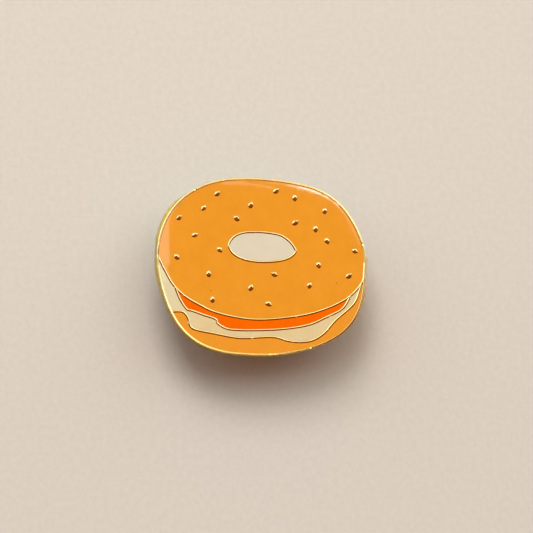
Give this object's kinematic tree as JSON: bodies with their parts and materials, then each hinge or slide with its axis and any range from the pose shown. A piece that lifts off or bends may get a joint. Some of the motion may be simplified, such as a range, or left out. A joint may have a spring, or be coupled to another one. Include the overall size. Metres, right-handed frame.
{
  "type": "bagel-shaped enamel pin",
  "caption": "Lapel pin in the shape of a filled bagel: coloured enamel between raised gilt lines on a metal plate, with posts and rubber clutches behind.",
  "frame": {"origin": "middle of the bounding box, on the surface that the clutches stand on", "axes": "+X across the face to its right, +Y up the face towards the bagel's far edge, +Z out of the enamelled face"},
  "size_m": [0.0317, 0.0262, 0.0092],
  "materials": {
    "gilt": "bright gold plating on a struck metal plate",
    "enamel_orange": "glossy orange enamel",
    "enamel_ivory": "glossy ivory enamel",
    "enamel_cream": "glossy cream enamel",
    "enamel_salmon": "glossy bright orange-red enamel",
    "post_metal": "dull gold plating",
    "clutch_rubber": "matt black moulded rubber"
  },
  "bodies": {
    "root": {"plate": "gilt", "enamel_bun_top": "enamel_orange", "enamel_bun_bottom": "enamel_orange", "enamel_hole": "enamel_ivory", "enamel_cream": "enamel_cream", "enamel_salmon": "enamel_salmon", "post_left": "post_metal", "post_right": "post_metal", "clutch_left": "clutch_rubber", "clutch_right": "clutch_rubber"}
  },
  "joints": []
}
